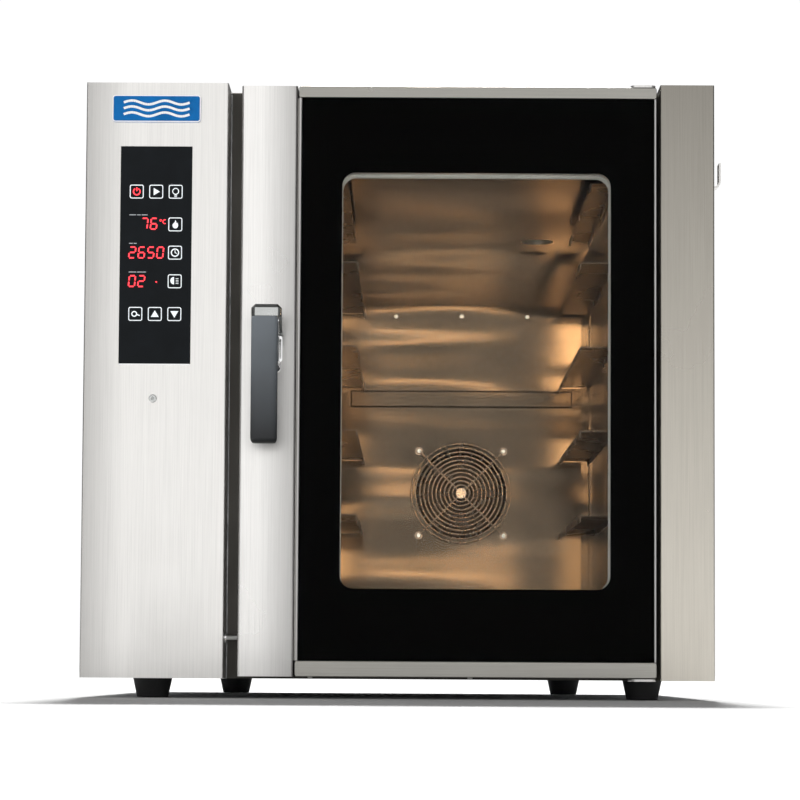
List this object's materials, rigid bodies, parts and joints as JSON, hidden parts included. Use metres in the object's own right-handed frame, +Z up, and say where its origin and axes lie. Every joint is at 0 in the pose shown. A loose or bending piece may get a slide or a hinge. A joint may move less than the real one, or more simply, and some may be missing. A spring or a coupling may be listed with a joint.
{
  "type": "combi steamer oven",
  "caption": "Countertop combi steamer oven with a control column, a right-hinged glass door, a pull-lever latch, tray runners and a fan behind a baffle.",
  "frame": {"origin": "bottom centre of the whole object's box, on the surface that the feet stand on", "axes": "+Z up, -Y out of the door, +X towards the door's hinge side"},
  "size_m": [0.86, 0.994, 0.85],
  "materials": {
    "stainless": "satin brushed",
    "stainless_door": "satin brushed",
    "stainless_dark": "satin brushed",
    "cavity_steel": "polished",
    "rack_steel": "polished",
    "door_inner_steel": "satin",
    "galvanised": "galvanised, dull",
    "zinc": "bright zinc",
    "chrome": "polished",
    "copper": "drawn copper",
    "heater_steel": "dark tube",
    "motor_grey": "matt",
    "lamp_metal": "satin",
    "lamp_glass": "frosted",
    "door_glass": "clear",
    "panel_glass": "glossy",
    "black_enamel": "gloss",
    "badge_blue": "gloss",
    "rubber_black": "matt",
    "silicone_black": "matt",
    "plastic_black": "matt",
    "plastic_white": "matt",
    "grip_plastic": "soft satin",
    "circuit_green": "gloss",
    "mineral_wool": "fibrous"
  },
  "bodies": {
    "cabinet": {"base_pan": "galvanised", "front_frame": "stainless_dark", "cavity_liner": "cavity_steel", "cavity_insulation": "mineral_wool", "inner_partitions": "galvanised", "left_side_panel": "stainless", "right_side_panel": "stainless", "back_panel": "galvanised", "top_panel": "stainless", "control_column_cover": "stainless", "hinge_column_cover": "stainless", "side_hook": "stainless", "feet": "rubber_black", "foot_bolts": "zinc", "vent_stack": "stainless", "drain_pipe": "stainless_dark", "cable_gland": "plastic_black", "water_valve": "plastic_white", "steam_injector": "copper", "heating_elements": "heater_steel", "fan_baffle": "cavity_steel", "fan_guard": "chrome", "cabinet_screws": "zinc", "fan_motor": "motor_grey", "rack_studs": "chrome", "lamp_glasses": "lamp_glass", "lamp_housings": "lamp_metal", "door_gasket": "silicone_black", "control_glass": "panel_glass", "display_board": "circuit_green", "power_board": "circuit_green", "power_contactors": "plastic_black", "cooling_fan_frame": "plastic_black", "badge_plate": "badge_blue", "probe_socket": "chrome", "door_switch_body": "chrome", "hinge_brackets": "stainless", "latch_strike": "stainless"},
    "door": {"door_left_stile": "stainless_door", "door_top_rail": "stainless_door", "door_bottom_rail": "stainless_door", "door_outer_glass": "door_glass", "door_glass_border": "black_enamel", "door_glass_trims": "stainless_door", "door_frame": "door_inner_steel", "door_inner_glass": "door_glass", "door_inner_liner": "door_inner_steel", "door_screws": "zinc", "hinge_bushes": "plastic_black", "handle_base": "chrome", "handle_pin": "chrome"},
    "handle": {"handle_lever": "chrome", "handle_grip": "grip_plastic"},
    "latch": {"latch_hook": "stainless"},
    "fan": {"fan_wheel": "cavity_steel"},
    "cooling_fan": {"cooling_fan_rotor": "plastic_black"},
    "door_plunger": {"door_switch_plunger": "plastic_white"},
    "left_rack": {"left_tray_rack": "rack_steel"},
    "right_rack": {"right_tray_rack": "rack_steel"},
    "strainer": {"drain_strainer": "cavity_steel"}
  },
  "joints": [
    {"name": "door_hinge", "type": "hinge", "parent": "cabinet", "child": "door", "pos_m": [0.323, -0.423, 0.424], "axis": [0, 0, 1], "range_deg": [0, 110]},
    {"name": "handle_pull", "type": "hinge", "parent": "door", "child": "handle", "pos_m": [-0.186, -0.455, 0.478], "axis": [-1, 0, 0], "range_deg": [0, 30], "stiffness_Nm_per_rad": 2},
    {"name": "latch_turn", "type": "hinge", "parent": "door", "child": "latch", "pos_m": [-0.186, -0.455, 0.478], "axis": [-1, 0, 0], "range_deg": [0, 10]},
    {"name": "fan_spin", "type": "hinge", "parent": "cabinet", "child": "fan", "pos_m": [0.0845, 0.207, 0.312], "axis": [0, 1, 0], "continuous": true},
    {"name": "cooling_fan_spin", "type": "hinge", "parent": "cabinet", "child": "cooling_fan", "pos_m": [-0.33, 0.449, 0.7], "axis": [0, 1, 0], "continuous": true},
    {"name": "door_plunger_slide", "type": "slide", "parent": "cabinet", "child": "door_plunger", "axis": [-1, 0, 0], "range_m": [0, 0.004], "stiffness_N_per_m": 60},
    {"name": "left_rack_lift", "type": "slide", "parent": "cabinet", "child": "left_rack", "axis": [0, 0, 1], "range_m": [0, 0.008]},
    {"name": "right_rack_lift", "type": "slide", "parent": "cabinet", "child": "right_rack", "axis": [0, 0, 1], "range_m": [0, 0.008]},
    {"name": "strainer_lift", "type": "slide", "parent": "cabinet", "child": "strainer", "axis": [0, 0, 1], "range_m": [0, 0.03]}
  ],
  "couplings": [
    {"joint": "latch_turn", "follows": "handle_pull", "ratio": 0.33333}
  ]
}
